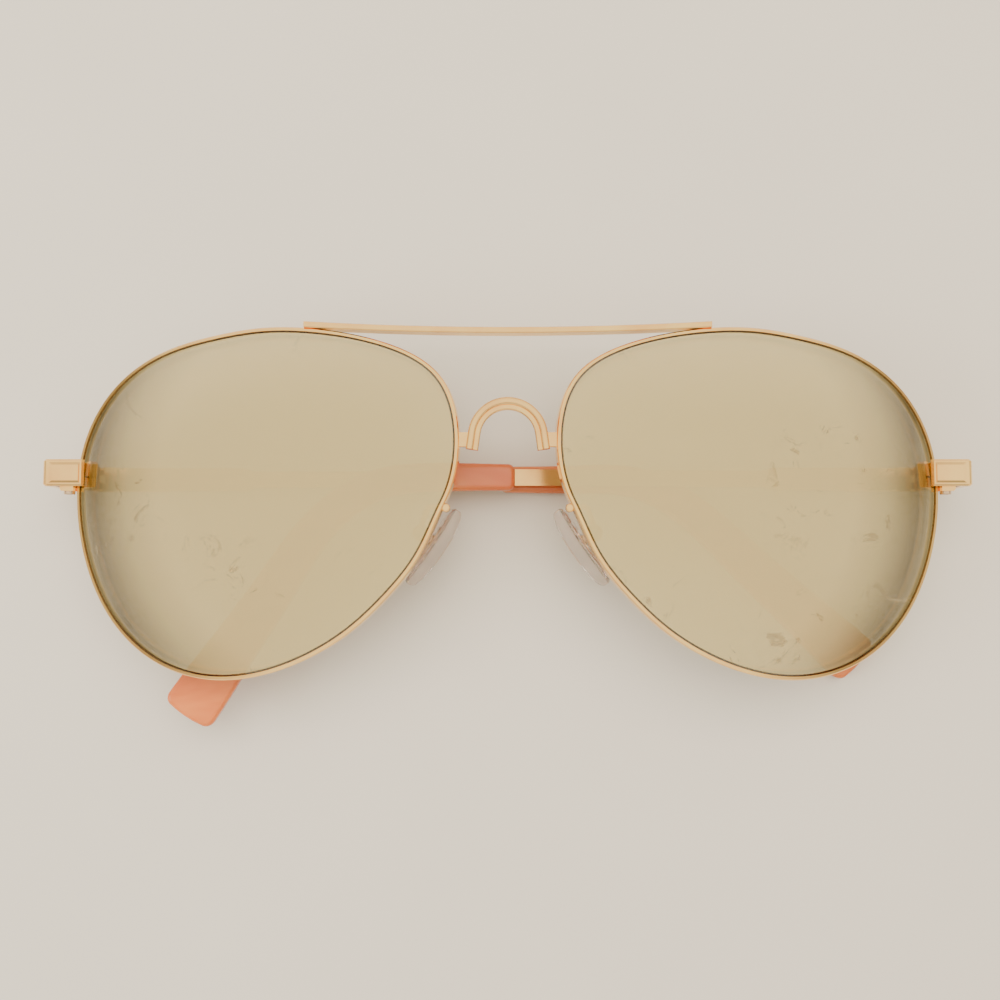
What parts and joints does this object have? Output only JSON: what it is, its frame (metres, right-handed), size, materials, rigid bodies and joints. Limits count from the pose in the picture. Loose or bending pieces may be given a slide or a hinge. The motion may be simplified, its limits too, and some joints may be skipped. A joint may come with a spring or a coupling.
{
  "type": "aviator sunglasses",
  "caption": "Folded aviator sunglasses with mirrored teardrop lenses in slim metal rims, an arched bridge under a brow bar, rocking nose pads and hinged temples with coral sleeves.",
  "frame": {"origin": "centre of the folded glasses' box, at the table they lie on", "axes": "+X to the wearer's left, +Y to the brow, +Z out of the lenses, away from the table"},
  "size_m": [0.1456, 0.0633, 0.0214],
  "materials": {
    "rose_gold_metal": "polished, rose gold plated",
    "screw_metal": "turned, plated",
    "pad_metal": "stamped",
    "mirror_lens": "gold mirror coating on tinted plastic",
    "coral_acetate": "polished translucent acetate",
    "clear_silicone": "clear, soft, slightly frosted"
  },
  "bodies": {
    "front": {"top_bar": "rose_gold_metal", "bridge": "rose_gold_metal", "left_rim": "rose_gold_metal", "right_rim": "rose_gold_metal", "left_lens": "mirror_lens", "right_lens": "mirror_lens", "left_bridge_lug": "rose_gold_metal", "right_bridge_lug": "rose_gold_metal", "left_end_piece": "rose_gold_metal", "right_end_piece": "rose_gold_metal", "left_rim_lock_upper": "rose_gold_metal", "right_rim_lock_upper": "rose_gold_metal", "left_rim_lock_lower": "rose_gold_metal", "right_rim_lock_lower": "rose_gold_metal", "left_rim_lock_screw": "screw_metal", "right_rim_lock_screw": "screw_metal", "left_front_hinge": "rose_gold_metal", "right_front_hinge": "rose_gold_metal", "left_hinge_screw": "screw_metal", "right_hinge_screw": "screw_metal", "left_pad_arm": "rose_gold_metal", "right_pad_arm": "rose_gold_metal", "left_pad_screw": "screw_metal", "right_pad_screw": "screw_metal"},
    "left_temple": {"left_temple_hinge": "rose_gold_metal", "left_temple_bar": "rose_gold_metal", "left_temple_sleeve": "coral_acetate"},
    "right_temple": {"right_temple_hinge": "rose_gold_metal", "right_temple_bar": "rose_gold_metal", "right_temple_sleeve": "coral_acetate"},
    "left_pad": {"left_pad_insert": "pad_metal", "left_nose_pad": "clear_silicone"},
    "right_pad": {"right_pad_insert": "pad_metal", "right_nose_pad": "clear_silicone"}
  },
  "joints": [
    {"name": "right_temple_fold", "type": "hinge", "parent": "front", "child": "right_temple", "pos_m": [-0.0697, 0.0085, 0.0031], "axis": [0, 1, 0], "range_deg": [0, 90]},
    {"name": "left_temple_fold", "type": "hinge", "parent": "front", "child": "left_temple", "pos_m": [0.0697, 0.0085, 0.0031], "axis": [0, -1, 0], "range_deg": [0, 93.45]},
    {"name": "right_pad_rock", "type": "hinge", "parent": "front", "child": "right_pad", "pos_m": [-0.0138, -0.0008, 0.011], "axis": [0.0723, -0.0487, 0.9962], "range_deg": [-8, 8]},
    {"name": "left_pad_rock", "type": "hinge", "parent": "front", "child": "left_pad", "pos_m": [0.0138, -0.0008, 0.011], "axis": [-0.0723, -0.0487, 0.9962], "range_deg": [-8, 8]}
  ]
}
